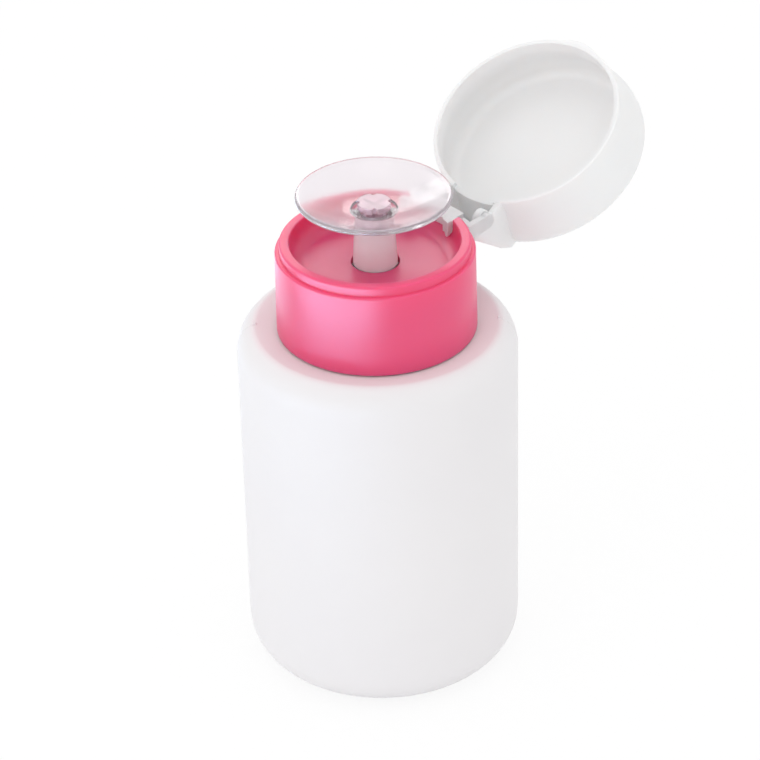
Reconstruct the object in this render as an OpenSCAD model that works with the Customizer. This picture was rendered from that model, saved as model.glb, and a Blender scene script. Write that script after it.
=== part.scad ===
// Press-down dispenser bottle. Millimetres, +Z up, origin at the centre of the bottle's foot.
// The lid's hinge is on the +Y side. The lid is drawn swung open.

/* [Bottle] */
// Diameter of the bottle
body_d = 60; // [56:1:80]
// Height that the shoulder's round edge would rise to, without the seat
body_h = 83.2; // [80:0.2:120]
// Wall of the bottle
body_wall = 1.2; // [0.9:0.1:1.6]
// Thickness of the bottle's foot
foot_wall = 1.5; // [1.2:0.1:2.5]
// Radius of the round edge at the foot
foot_round = 8.8; // [7:0.2:10]
// Distance from the seat to the centre of the shoulder's round edge
shoulder_flat = 1.15; // [0.8:0.05:2]
// Angle at which the shoulder's round edge turns down to the seat
crest_angle = 60; // [50:1:80]
// Round where it turns down to the seat
crest_round = 2; // [0.4:0.1:2.4]
// Height of the push-up in the foot
push_up = 1.4; // [0.8:0.1:2]
// Width of the ring that the bottle stands on
foot_ring = 3.2; // [2:0.1:4.5]
// Depth of the seat that the collar's skirt sinks into
seat_depth = 1.9; // [1.5:0.1:2.4]
// Gap round the skirt in its seat
seat_gap = 0.35; // [0.25:0.05:1]

/* [Neck] */
// Outer diameter of the neck, below its thread
neck_d = 35; // [34:0.1:35.4]
// Wall of the neck
neck_wall = 1.7; // [1.4:0.1:2]
// Height of the neck above the collar's seat
neck_h = 11.9; // [11:0.1:13]
// Depth of the neck's thread
thread_depth = 1.2; // [0.9:0.1:1.3]
// Gap between the neck's thread and the collar
thread_gap = 0.25; // [0.15:0.05:0.35]

/* [Collar] */
// Wall of the collar's skirt
collar_wall = 2.25; // [2:0.05:2.5]
// Widening of the skirt towards its foot
skirt_draft = 0.2; // [0:0.05:0.3]
// Gap under the skirt
skirt_gap = 0.3; // [0.2:0.05:0.6]
// Thickness of the collar's floor
floor_t = 1.4; // [1.2:0.1:1.8]
// Depth of the well
well_depth = 5.1; // [4.6:0.1:6]
// Thickness of the ring round the well
ring_wall = 2.15; // [1.8:0.05:2.4]
// Radius between the well's floor and its wall
well_round = 3.4; // [2:0.1:3.8]
// Height of the ring above the ledge
ring_h = 2.1; // [1.8:0.1:2.6]
// Width of the ledge that the lid closes on
ledge_w = 0.95; // [0.8:0.05:1.1]
// Round on the ring's outer edge
ring_round = 0.5; // [0.4:0.1:1]
// Round on the ledge's outer edge
ledge_round = 0.45; // [0.2:0.05:0.6]
// Radius of the hole in the floor
floor_hole_r = 5.1; // [5:0.05:5.4]

/* [Hinge] */
// Distance from the collar's side to the hinge pin
pivot_out = 4.6; // [4.2:0.1:5.6]
// Drop of the hinge pin below the ledge
pivot_drop = 1.4; // [1:0.1:1.8]
// Angle of the open lid
open_angle = 148; // [100:1:150]
// Radius of the hinge pins
pin_r = 1; // [0.8:0.05:1.1]
// Running clearance of the hinge pins
pin_gap = 0.05; // [0.03:0.01:0.08]
// Length of each hinge pin
pin_len = 0.9; // [0.7:0.1:1]
// Radius of the bracket's lugs
lug_r = 1.7; // [1.6:0.1:2.2]
// Thickness of a lug
lug_t = 1.4; // [1.3:0.1:2.2]
// Radius of the knuckle at the end of an arm
knuckle_r = 2.1; // [1.9:0.1:2.4]
// Half the width of the lid's hinge box
box_half = 7.6; // [7.2:0.1:8]
// Thickness of the hinge box's walls
box_wall = 1.4; // [1.2:0.1:1.6]
// Side gap between an arm and its lug
side_gap = 0.2; // [0.1:0.05:0.3]
// Height of the hinge box above the ledge
box_h = 13.1; // [11.5:0.1:13.4]
// Depth of the hinge box's top, from the lid's side outwards
box_top = 1.9; // [1.4:0.1:2.4]
// Height of the slope at the edge of the hinge box's top
box_slope = 2.7; // [2:0.1:3.4]
// Half the width of the notch in the ring
notch_half = 7; // [6.8:0.1:7.4]
// Height of the notch's floor under the ledge
notch_sink = 0.9; // [0.6:0.1:1.2]
// Thickness of the bracket's saddle
saddle_t = 1.8; // [1.5:0.1:2]
// Half the width of the bracket's saddle
saddle_half = 5.4; // [4.8:0.1:5.6]
// Thickness of the bracket's back plate
plate_t = 1.2; // [1:0.1:1.3]
// Depth of the bracket's back plate under the ledge
plate_h = 6.2; // [5.6:0.1:7]
// Gap between the bracket and the collar
clip_gap = 0.06; // [0.03:0.01:0.1]
// Thickness of the bracket's claws
claw_t = 1.4; // [1.2:0.1:1.6]
// Width of a claw
claw_w = 2.1; // [1.9:0.1:3]
// Length of a claw below the saddle
claw_len = 0.7; // [0.5:0.1:1.1]
// Gap between the open lid and its stop
stop_gap = 0.12; // [0.08:0.01:0.3]

/* [Lid] */
// Overhang of the lid's mouth beyond the collar
lid_overhang = 0.3; // [0.2:0.05:0.6]
// Widening of the lid from its mouth to its head
lid_flare = 1.8; // [1.1:0.1:2.4]
// Height of the lid
lid_h = 15; // [14.6:0.1:17]
// Wall of the lid
lid_wall = 1.05; // [0.9:0.05:1.05]
// Height of the straight part at the lid's mouth
lid_straight = 2.4; // [2:0.1:3]
// Round of the lid's closed edge
lid_round = 3.2; // [2.5:0.1:4]
// Gap between the closed lid and its ledge
lid_gap = 0.2; // [0.1:0.05:0.3]
// Reach of the thumb lip
lip_reach = 0.7; // [0.5:0.1:1.2]
// Thickness of the thumb lip
lip_t = 1.3; // [1:0.1:1.6]

/* [Saucer] */
// Gap between the saucer and the well's wall
disc_gap = 1.6; // [1.2:0.1:2.2]
// Height of the saucer's rim above the well's floor
disc_rise = 16.15; // [15.8:0.05:16.4]
// Thickness of the saucer
disc_t = 1.2; // [1:0.1:1.5]
// Depth of the saucer
dish_depth = 3.4; // [2.6:0.1:3.6]
// Radius of the pit at the centre
pit_r = 4.9; // [4.6:0.1:5.4]
// Depth of the pit
pit_depth = 0.8; // [0.6:0.1:1]
// Outer radius of the tube at the saucer
tube_top_r = 4.25; // [4.2:0.05:4.4]
// Outer radius of the tube at its foot
tube_foot_r = 4.75; // [4.5:0.05:4.8]
// Length of the tube below the saucer's rim
tube_len = 16.6; // [16:0.1:17]

/* [Plug] */
// Radius of the plug's cap
plug_cap_r = 3.6; // [3.4:0.1:4]
// Thickness of the plug's cap
plug_cap_t = 1.3; // [1:0.1:1.6]
// Height of the plug's cap above the pit's edge
plug_rise = 1.4; // [1.2:0.1:1.8]
// Length of the plug's ribs
plug_rib_len = 3; // [2.6:0.1:3.2]
// Thickness of a plug rib
plug_rib_t = 0.9; // [0.8:0.1:1.2]
// Radius of the notches in the cap
plug_notch_r = 0.62; // [0.5:0.02:0.7]
// Bore of the saucer's hub
hub_bore_r = 3; // [2.9:0.05:3.1]
// Gap of a pressed-in piece
press_gap = 0.03; // [0.01:0.01:0.05]

/* [Stem] */
// Outer radius of the stem
stem_r = 3.4; // [3.3:0.05:3.5]
// Channel through the stem
channel_r = 1.5; // [1.2:0.1:1.8]
// Channel at the outlet seat
outlet_throat_r = 1; // [0.8:0.05:1.05]
// Depth of the outlet seat
outlet_seat = 1.4; // [1.2:0.1:1.6]
// Radius of the outlet ball
outlet_ball_r = 1.6; // [1.55:0.05:1.7]
// Depth of the stem's top below the saucer's rim
stem_drop = 8.7; // [8.5:0.1:9]
// Thickness of the flange on the stem's foot
stem_flange_t = 1.2; // [1:0.1:1.6]
// Running clearance of the stem in its bush
run_gap = 0.06; // [0.03:0.01:0.08]

/* [Pump] */
// Stroke of the saucer
stroke = 8; // [6:0.5:8]
// Thickness of the neck gasket
gasket_t = 1; // [0.8:0.1:1.4]
// Width of the neck gasket
gasket_w = 2.6; // [2:0.1:3]
// Thickness of the pump's flange
flange_t = 1.4; // [1.2:0.1:1.6]
// Inset of the pump's flange from the neck's outside
flange_inset = 0.2; // [0.1:0.05:0.4]
// Gap under the collar's floor
turn_gap = 0.05; // [0.02:0.01:0.1]
// Height of the guide bush
bush_h = 10.1; // [9.8:0.1:12]
// Wall of the guide bush's foot
bush_foot = 2.2; // [1.5:0.1:2.4]
// Radius of the guide bush
bush_r = 8; // [7.6:0.1:8.4]
// Clearance of the tube in the bush
bush_gap = 0.25; // [0.15:0.05:0.3]
// Bore of the cylinder
bore_r = 6.5; // [6.3:0.05:6.8]
// Wall of the cylinder
cyl_wall = 1.2; // [1:0.1:1.4]
// Length of the cylinder's bore
bore_len = 25.4; // [25:0.1:32]
// Height of the piston
piston_h = 7; // [6:0.1:8]
// Clearance of the piston's lips
piston_gap = 0.05; // [0.03:0.01:0.08]
// Radius of the vent in the cylinder
vent_r = 0.6; // [0.4:0.1:0.8]

/* [Spring] */
// Radius of the spring's wire
wire_r = 0.4; // [0.3:0.05:0.45]
// Radius of the spring's coils
coil_r = 4.5; // [4.2:0.1:4.8]
// Number of turns
turns = 7; // [5:1:8]

/* [Inlet] */
// Radius of the inlet ball
inlet_ball_r = 2; // [1.8:0.1:2.2]
// Clearance round the inlet ball
chamber_gap = 1; // [0.8:0.1:1.2]
// Depth of the ball chamber
chamber_h = 5.4; // [5.2:0.1:6]
// Radius of the inlet throat
throat_r = 1.1; // [1:0.1:1.2]
// Thickness of the ball retainer
retainer_t = 1.6; // [1.2:0.1:2]
// Radius of the retainer's holes
retainer_hole_r = 1.1; // [0.8:0.1:1.2]
// Outer radius of the dip tube
dip_r = 2.5; // [2.2:0.1:2.8]
// Wall of the dip tube
dip_wall = 0.75; // [0.6:0.05:0.9]
// Length of the dip tube's socket
socket_len = 11; // [8:0.5:14]
// Gap between the dip tube and the bottle's foot
dip_gap = 2; // [1:0.1:4]

/* [Hidden] */
$fn = 96;

// A cut reaches this far past the face that it opens.
over = 1;
// Number of chords in a round edge
arc_n = 8;

// Heights, from the foot up
seat_z = body_h - seat_depth;
neck_z = seat_z + neck_h;
flange_z = neck_z + gasket_t;
flange_top = flange_z + flange_t;
floor_under = flange_top + turn_gap;
floor_z = floor_under + floor_t;
rim_z = floor_z + well_depth;
ledge_z = rim_z - ring_h;
skirt_z = seat_z + skirt_gap;
pivot_z = ledge_z - pivot_drop;

// Collar, from the neck outwards
neck_bore = neck_d - 2 * neck_wall;
thread_r = neck_d / 2 + thread_depth;
skirt_bore = thread_r + thread_gap;
collar_r = skirt_bore + collar_wall;
ring_r = collar_r - ledge_w;
well_r = ring_r - ring_wall;
// Chamfer at the skirt's mouth
skirt_chamfer = 0.5;
// Round on the well's mouth
mouth_round = 0.3;

// Bottle
body_r = body_d / 2;
seat_r = collar_r + skirt_draft + seat_gap;
shoulder_round = body_r - seat_r - shoulder_flat;
stand_r = body_r - foot_round;
// Width of the slope round the push-up
push_run = 2.2;

// Lid and saucer, from the collar
lid_mouth_r = collar_r + lid_overhang;
lid_head_r = lid_mouth_r + lid_flare;
disc_r = well_r - disc_gap;
flange_r = neck_d / 2 - flange_inset;

// Hinge
pivot_y = collar_r + pivot_out;
notch_z = ledge_z - notch_sink;
saddle_top = notch_z + clip_gap + saddle_t;
claw_top = rim_z - clip_gap;
plate_r = collar_r + skirt_draft + clip_gap + plate_t;
lug_in = box_half + side_gap;
lug_out = lug_in + lug_t;
lid_z = ledge_z + lid_gap;
// Point of the hinge box that meets the bracket's plate when the lid is open
stop_low = 3.8;
// Place of the slope's foot on the hinge box, inwards from the pin
box_tuck = 0.1;
stop_point = closed_from_open([plate_r + stop_gap - pivot_y, -stop_low]);

// Saucer and stem
disc_z = floor_z + disc_rise;
dish_z = disc_z - dish_depth;
pit_z = dish_z - pit_depth;
tube_z = disc_z - tube_len;
stem_z = disc_z - stem_drop;

// Pump
bush_z = flange_top - bush_h;
piston_z = bush_z - piston_h;
stem_foot = piston_z - stem_flange_t;
cyl_r = bore_r + cyl_wall;
bore_foot = bush_z - bore_len;
spring_foot = bore_foot + retainer_t;
chamber_r = inlet_ball_r + chamber_gap;
chamber_z = bore_foot - chamber_h;
ball_sit = inlet_ball_r * sqrt(2) + chamber_z - throat_r;
socket_top = chamber_z - over * 2;
socket_z = socket_top - socket_len;
dip_z = foot_wall + push_up + dip_gap;
outlet_z = stem_z - outlet_seat;
lift_gap = 0.05;

// Turns a point beside the hinge pin, given as [out, up], from the open lid to the closed one.
function closed_from_open(p) =
    [p[0] * cos(open_angle) - p[1] * sin(open_angle), p[0] * sin(open_angle) + p[1] * cos(open_angle)];

// Points of an arc about a centre, from one angle to another.
function arc(c, r, a0, a1, n = arc_n) =
    [for (i = [0 : n]) let (a = a0 + (a1 - a0) * i / n) [c[0] + r * cos(a), c[1] + r * sin(a)]];

// Points of a smooth step between two points, level in r at both ends.
function sweep_out(r0, z0, r1, z1, n = 8) =
    [for (i = [0 : n]) let (t = i / n) [r0 + (r1 - r0) * (3 * t * t - 2 * t * t * t), z0 + (z1 - z0) * t]];

function reversed(p) = [for (i = [len(p) - 1 : -1 : 0]) p[i]];

// Bottle, blow-moulded in one piece

// Half section of the bottle, shrunk inwards by t. The crest's round, the foot, the neck and its top are given.
module bottle_half(t, round, foot, neck, top) {
    centre = [body_r - shoulder_round, body_h - shoulder_round];
    // Slope of the seat, from its foot up to the crest
    tilt = atan2(centre[1] + shoulder_round * sin(crest_angle) - seat_z,
        centre[0] + shoulder_round * cos(crest_angle) - seat_r);
    // The crest's round touches the shoulder's round edge inside and the slope.
    side = shoulder_round * cos(90 + tilt - crest_angle) - t - round;
    reach = shoulder_round - t - round;
    turn = 90 + tilt - acos(side / reach);
    polygon(concat(
        [[0, foot + push_up], [stand_r - foot_ring - push_run, foot + push_up], [stand_r - foot_ring, foot]],
        arc([stand_r, foot_round], foot_round - t, 270, 360),
        arc(centre, shoulder_round - t, 0, turn * (1 - 1 / arc_n), arc_n - 1),
        arc(centre + reach * [cos(turn), sin(turn)], round, turn, 90 + tilt, 4),
        [[seat_r + t * tan(tilt / 2), seat_z - t], [neck, seat_z - t], [neck, top], [0, top]]
    ));
}

module bottle() {
    color("whitesmoke")
    rotate_extrude() difference() {
        bottle_half(0, crest_round, 0, neck_d / 2, neck_z);
        bottle_half(body_wall, crest_round / 2, foot_wall, neck_bore / 2, neck_z + over);
    }
}

// Collar, with the well on top and the neck's thread inside

module collar_section() {
    skirt_foot_r = collar_r + skirt_draft;
    polygon(concat(
        [[skirt_bore + skirt_chamfer, skirt_z], [skirt_foot_r, skirt_z]],
        arc([collar_r - ledge_round, ledge_z - ledge_round], ledge_round, 0, 90),
        [[ring_r, ledge_z]],
        arc([ring_r - ring_round, rim_z - ring_round], ring_round, 0, 90),
        arc([well_r + mouth_round, rim_z - mouth_round], mouth_round, 90, 180, 3),
        arc([well_r - well_round, floor_z + well_round], well_round, 360, 270),
        [[floor_hole_r, floor_z], [floor_hole_r, floor_under], [skirt_bore, floor_under],
            [skirt_bore, skirt_z + skirt_chamfer]]
    ));
}

module collar() {
    color("hotpink") difference() {
        rotate_extrude() collar_section();
        // Notch for the hinge bracket
        translate([-notch_half, well_r - well_round, notch_z])
            cube([2 * notch_half, collar_r, rim_z]);
    }
}

// Bracket that clips into the notch and carries the lid

// Upright outline of a lug, in the plane across the hinge pin.
module lug_outline() {
    translate([pivot_y, pivot_z]) circle(lug_r);
    translate([0, pivot_z - lug_r]) square([pivot_y, ledge_z - pivot_z + lug_r]);
}

// Turns an outline drawn as [out, up] into a plate that starts at x and has thickness t.
module plate_across(x, t) {
    translate([x, 0, 0]) rotate([90, 0, 90]) linear_extrude(t) children();
}

module lugs() {
    for (side = [0, 1]) mirror([side, 0, 0]) difference() {
        plate_across(lug_in, lug_t) lug_outline();
        translate([lug_in, pivot_y, pivot_z]) rotate([0, 90, 0])
            cylinder(h = 2 * (pin_len + 0.1), r = pin_r + pin_gap, center = true, $fn = 48);
    }
}

// One claw, drawn flat against the well's wall and tapered to its foot.
module claw() {
    edge = notch_half - clip_gap;
    foot = notch_z + clip_gap - claw_len;
    translate([0, well_r, 0]) rotate([90, 0, 0]) linear_extrude(well_r / 2) polygon([
        [edge, claw_top], [edge, notch_z + clip_gap], [edge - claw_w * 0.2, foot],
        [edge - claw_w * 0.45, foot], [edge - claw_w, saddle_top - claw_len], [edge - claw_w, claw_top]
    ]);
}

// Space inside the well that the claws fill, bounded by the well's wall and its round.
module claw_space() {
    r = well_r - clip_gap;
    rotate_extrude() intersection() {
        polygon(concat(
            [[0, claw_top], [0, floor_z + clip_gap]],
            arc([well_r - well_round, floor_z + well_round], well_round - clip_gap, 270, 360),
            [[r, claw_top]]
        ));
        translate([r - claw_t, floor_z]) square([claw_t + over, rim_z - floor_z]);
    }
}

// Band through the notch, between two radii and two distances from the middle.
module notch_band(r0, r1, x0, x1) {
    intersection() {
        difference() {
            cylinder(h = saddle_top, r = r1);
            translate([0, 0, -over]) cylinder(h = saddle_top + 2 * over, r = r0);
        }
        translate([x0, 0, notch_z + clip_gap]) cube([x1 - x0, 2 * r1, saddle_t]);
    }
}

module hinge_bracket() {
    inner_r = well_r - clip_gap;
    outer_r = collar_r + skirt_draft + clip_gap;
    color("white") union() {
        // Saddle through the notch
        notch_band(inner_r, plate_r, -saddle_half, saddle_half);
        // Claws that hook into the well, on arms beside the saddle
        for (side = [0, 1]) mirror([side, 0, 0]) {
            intersection() {
                claw_space();
                claw();
            }
            notch_band(inner_r - claw_t, ring_r, notch_half - clip_gap - claw_w, notch_half - clip_gap);
        }
        // Back plate and lugs outside the collar
        difference() {
            union() {
                intersection() {
                    translate([0, 0, ledge_z - plate_h]) cylinder(h = plate_h, r = plate_r);
                    translate([-lug_out, 0, ledge_z - plate_h]) cube([2 * lug_out, 2 * plate_r, plate_h]);
                }
                lugs();
            }
            translate([0, 0, -over]) cylinder(h = 2 * rim_z, r = outer_r);
        }
        // Neck of the saddle above the back plate
        intersection() {
            difference() {
                translate([0, 0, ledge_z - plate_h]) cylinder(h = saddle_top - ledge_z + plate_h, r = plate_r);
                translate([0, 0, -over]) cylinder(h = 2 * rim_z, r = outer_r);
            }
            translate([-saddle_half, 0, ledge_z - plate_h])
                cube([2 * saddle_half, 2 * plate_r, saddle_top - ledge_z + plate_h]);
        }
    }
}

// Lid, drawn closed and then swung open

// Outer half section of the lid, shrunk inwards by t.
module lid_half(t, low) {
    mouth = lid_mouth_r - t;
    head = lid_head_r - t;
    round = lid_round - t;
    flare_top = lid_z + lid_h - lid_round - 1.5;
    polygon(concat(
        [[0, low], [mouth, low]],
        sweep_out(mouth, lid_z + lid_straight, head, flare_top),
        arc([head - round, lid_z + lid_h - lid_round], round, 0, 90),
        [[0, lid_z + lid_h - t]]
    ));
}

// Side of the hinge box as [out, up] from the bottle's axis.
module box_side() {
    wall_low = sqrt(pow(lid_mouth_r, 2) - pow(box_half, 2)) - lid_wall / 3;
    wall_high = sqrt(pow(lid_head_r, 2) - pow(box_half, 2)) - lid_wall / 3;
    low = ledge_z + 2 * lid_gap;
    top = ledge_z + box_h;
    stop = [pivot_y + stop_point[0], pivot_z + stop_point[1]];
    translate([pivot_y, pivot_z]) circle(knuckle_r);
    polygon([
        [wall_low, low], [wall_low, lid_z + lid_straight + 0.6], [wall_high, top - 1], [wall_high, top],
        [wall_high + box_top, top], [pivot_y - box_tuck, top - box_slope], stop, [stop[0] - 0.6, stop[1] - 0.5],
        [pivot_y + knuckle_r * sin(35), pivot_z - knuckle_r * cos(35)],
        [pivot_y - knuckle_r * cos(20), pivot_z + knuckle_r * sin(20)], [pivot_y - knuckle_r - 0.6, low]
    ]);
}

// Hollow between the arms, under the box's sloping cover.
module box_hollow() {
    stop = [pivot_y + stop_point[0], pivot_z + stop_point[1]];
    wall_high = sqrt(pow(lid_head_r, 2) - pow(box_half, 2));
    top = ledge_z + box_h;
    polygon([
        [0, 0], [0, top - box_wall], [wall_high + box_top - box_wall * 0.75, top - box_wall],
        [pivot_y - box_tuck - box_wall * 0.85, top - box_slope - box_wall * 0.55],
        [stop[0] - box_wall * 1.25, stop[1] + 0.4], [stop[0] - box_wall * 1.1, 0]
    ]);
}

module hinge_box() {
    difference() {
        plate_across(-box_half, 2 * box_half) box_side();
        plate_across(-box_half + box_wall, 2 * (box_half - box_wall)) box_hollow();
    }
    for (side = [0, 1]) mirror([side, 0, 0]) translate([box_half - box_wall / 2, pivot_y, pivot_z])
        rotate([0, 90, 0]) cylinder(h = box_wall / 2 + pin_len, r = pin_r, $fn = 48);
}

module lid_closed() {
    difference() {
        union() {
            rotate_extrude() lid_half(0, lid_z);
            difference() {
                hinge_box();
                translate([0, 0, lid_z - over]) cylinder(h = lid_h, r = lid_mouth_r - lid_wall / 2);
            }
            // Thumb lip at the front of the mouth
            translate([0, -lid_mouth_r - lip_reach + lip_radius(), lid_z]) cylinder(h = lip_t, r = lip_radius());
        }
        rotate_extrude() lid_half(lid_wall, lid_z - over);
        // Opening over the bracket's saddle
        translate([-saddle_half - 0.3, 0, lid_z - over])
            cube([2 * (saddle_half + 0.3), lid_mouth_r + 0.5, saddle_top - lid_z + over + 0.4]);
    }
}

// Radius of the thumb lip's outline
function lip_radius() = lid_mouth_r / 2;

module lid() {
    color("gainsboro")
    translate([0, pivot_y, pivot_z]) rotate([-open_angle, 0, 0]) translate([0, -pivot_y, -pivot_z])
        lid_closed();
}

// Saucer with its tube

// Points of the dish from the pit's edge to the rim, lifted by dz.
function dish_curve(r0, r1, dz, n = 10) =
    [for (i = [0 : n]) let (t = i / n) [r0 + (r1 - r0) * t, dish_z + dz + dish_depth * pow(t, 1.45)]];

module press_disc() {
    edge = disc_t / 2;
    socket_r = stem_r + press_gap;
    color("lavenderblush") rotate_extrude() polygon(concat(
        [[hub_bore_r, pit_z], [pit_r - 0.3, pit_z]],
        dish_curve(pit_r, disc_r - edge, 0),
        arc([disc_r - edge, disc_z - edge], edge, 70, -80, 6),
        reversed(dish_curve(pit_r + 0.3, disc_r - edge, -disc_t)),
        [[tube_top_r + 0.35, pit_z - disc_t], [tube_top_r, pit_z - disc_t - 0.8], [tube_foot_r, tube_z],
            [socket_r, tube_z], [socket_r, stem_z], [hub_bore_r, stem_z]]
    ));
}

// Plug over the outlet

module outlet_plug() {
    top = dish_z + plug_rise;
    cap_z = top - plug_cap_t;
    rib_r = hub_bore_r - press_gap;
    color("thistle") union() {
        difference() {
            translate([0, 0, cap_z]) cylinder(h = plug_cap_t, r = plug_cap_r);
            for (i = [0 : 3]) rotate(45 + 90 * i) translate([plug_cap_r, 0, cap_z - over])
                cylinder(h = plug_cap_t + 2 * over, r = plug_notch_r, $fn = 24);
        }
        intersection() {
            translate([0, 0, cap_z - plug_rib_len]) cylinder(h = plug_rib_len, r = rib_r);
            for (i = [0, 1]) rotate(90 * i) translate([-rib_r, -plug_rib_t / 2, cap_z - plug_rib_len])
                cube([2 * rib_r, plug_rib_t, plug_rib_len]);
        }
    }
}

module outlet_ball() {
    color("silver")
    translate([0, 0, outlet_z + (outlet_ball_r * sqrt(2) - outlet_throat_r) + lift_gap]) sphere(outlet_ball_r);
}

// Stem with the outlet seat at its top and a flange at its foot

module stem() {
    color("white") rotate_extrude() polygon([
        [channel_r, stem_foot], [bore_r - 0.9, stem_foot], [bore_r - 0.9, piston_z], [stem_r, piston_z],
        [stem_r, stem_z], [outlet_throat_r + outlet_seat, stem_z], [outlet_throat_r, outlet_z],
        [outlet_throat_r, outlet_z - 1.5], [channel_r, outlet_z - 2.2]
    ]);
}

// Bush that guides the stem

module guide_bush() {
    r = bush_r - press_gap;
    upper_r = tube_foot_r + bush_gap;
    color("white") rotate_extrude() polygon([
        [stem_r + run_gap, bush_z], [r, bush_z], [r, flange_top], [upper_r, flange_top],
        [upper_r, bush_z + bush_foot], [stem_r + run_gap, bush_z + bush_foot]
    ]);
}

// Piston with a lip at each end

module piston() {
    lip_r = bore_r - piston_gap;
    waist_r = bore_r - 1;
    hub_r = stem_r + press_gap;
    lip_h = 1.2;
    top = bush_z - lift_gap;
    color("aliceblue") rotate_extrude() polygon([
        [hub_r, piston_z], [waist_r - 0.8, piston_z], [waist_r - 0.4, piston_z + 1], [lip_r - 0.35, piston_z + 0.2],
        [lip_r, piston_z + 0.2], [lip_r, piston_z + lip_h], [waist_r, piston_z + lip_h + 0.9],
        [waist_r, top - lip_h - 0.9], [lip_r, top - lip_h], [lip_r, top], [hub_r, top]
    ]);
}

// Return spring

// Ring of the wire's section at a point along the coil.
function wire_ring(a, z) = [for (i = [0 : wire_n - 1]) let (b = 360 * i / wire_n, r = coil_r + wire_r * cos(b))
    [r * cos(a), r * sin(a), z + wire_r * sin(b)]];
wire_n = 6;
coil_n = 20;

module spring() {
    high = stem_foot - spring_foot;
    n = turns * coil_n;
    // The first and the last turn lie flat.
    rise = high - 2 * wire_r;
    rings = [for (i = [0 : n]) let (t = i / coil_n)
        wire_ring(360 * i / coil_n, spring_foot + wire_r + rise * min(1, max(0, (t - flat(t)) / (turns - 1))))];
    pts = [for (ring = rings) each ring];
    sides = [for (i = [0 : n - 1], j = [0 : wire_n - 1]) let (k = (j + 1) % wire_n)
        [i * wire_n + j, i * wire_n + k, (i + 1) * wire_n + k, (i + 1) * wire_n + j]];
    ends = [[for (j = [wire_n - 1 : -1 : 0]) j], [for (j = [0 : wire_n - 1]) n * wire_n + j]];
    color("silver") polyhedron(points = pts, faces = concat([for (f = sides) [f[3], f[2], f[1], f[0]]],
        [for (f = ends) [for (k = [len(f) - 1 : -1 : 0]) f[k]]]), convexity = 8);
}

// Half a turn is taken off the rise at each end of the spring.
function flat(t) = min(t, 0.5) + max(0, t - (turns - 0.5));

// Pierced disc that keeps the inlet ball

module ball_retainer() {
    color("white") difference() {
        translate([0, 0, bore_foot]) cylinder(h = retainer_t, r = bore_r - press_gap);
        for (i = [0 : 2]) rotate(120 * i) translate([retainer_hole_r * 1.7, 0, bore_foot - over])
            cylinder(h = retainer_t + 2 * over, r = retainer_hole_r, $fn = 32);
    }
}

module inlet_ball() {
    color("silver") translate([0, 0, ball_sit + lift_gap]) sphere(inlet_ball_r);
}

// Pump cylinder, hung from the neck by its flange

module pump_cylinder() {
    head_r = bush_r + cyl_wall;
    socket_r = dip_r + press_gap;
    color("white") difference() {
        rotate_extrude() polygon([
            [socket_r, socket_z], [socket_r + cyl_wall, socket_z], [socket_r + cyl_wall + 0.2, socket_top],
            [chamber_r + cyl_wall, chamber_z], [chamber_r + cyl_wall, bore_foot - 2.5], [cyl_r, bore_foot],
            [cyl_r, bush_z - 2.5], [head_r, bush_z - 1], [head_r, flange_z], [flange_r, flange_z],
            [flange_r, flange_top], [bush_r, flange_top], [bush_r, bush_z], [bore_r, bush_z], [bore_r, bore_foot],
            [chamber_r, bore_foot], [chamber_r, chamber_z + chamber_r - throat_r], [throat_r, chamber_z],
            [throat_r, socket_top], [socket_r, socket_top]
        ]);
        // Air vent below the bush
        translate([0, 0, bush_z - 3.6]) rotate([0, 90, 0]) cylinder(h = 2 * cyl_r, r = vent_r, $fn = 24);
    }
}

module neck_gasket() {
    color("lightgrey") difference() {
        translate([0, 0, neck_z]) cylinder(h = gasket_t, r = flange_r);
        translate([0, 0, neck_z - over]) cylinder(h = gasket_t + 2 * over, r = flange_r - gasket_w);
    }
}

module dip_tube() {
    color("white") difference() {
        translate([0, 0, dip_z]) cylinder(h = socket_top - lift_gap - dip_z, r = dip_r);
        translate([0, 0, dip_z - over]) cylinder(h = socket_top, r = dip_r - dip_wall);
        // Slanted foot
        translate([0, 0, dip_z]) rotate([0, 45, 0]) translate([-4 * dip_r, -2 * dip_r, -4 * dip_r - dip_r / sqrt(2)])
            cube([8 * dip_r, 4 * dip_r, 4 * dip_r]);
    }
}

bottle();
collar();
hinge_bracket();
lid();
press_disc();
outlet_plug();
outlet_ball();
stem();
guide_bush();
piston();
spring();
ball_retainer();
inlet_ball();
pump_cylinder();
neck_gasket();
dip_tube();
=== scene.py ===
"""Visual model of a press-down dispenser bottle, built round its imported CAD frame.

The bottle is milky blown polyethylene. A pink screw collar with a well sits on its neck. A clear
saucer stands on a sprung pump in the well, and a frosted flip lid is hinged at the back.
Sizes in the classes are millimetres in the frame's own axes: +Z up, hinge on the +Y side.
"""

import logging  # noqa: E402
import math  # noqa: E402
from collections.abc import Callable, Iterable, Mapping, Sequence  # noqa: E402
from dataclasses import dataclass, field  # noqa: E402
from enum import Enum  # noqa: E402

import bpy  # noqa: E402
from mathutils import Matrix, Vector  # noqa: E402


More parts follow.
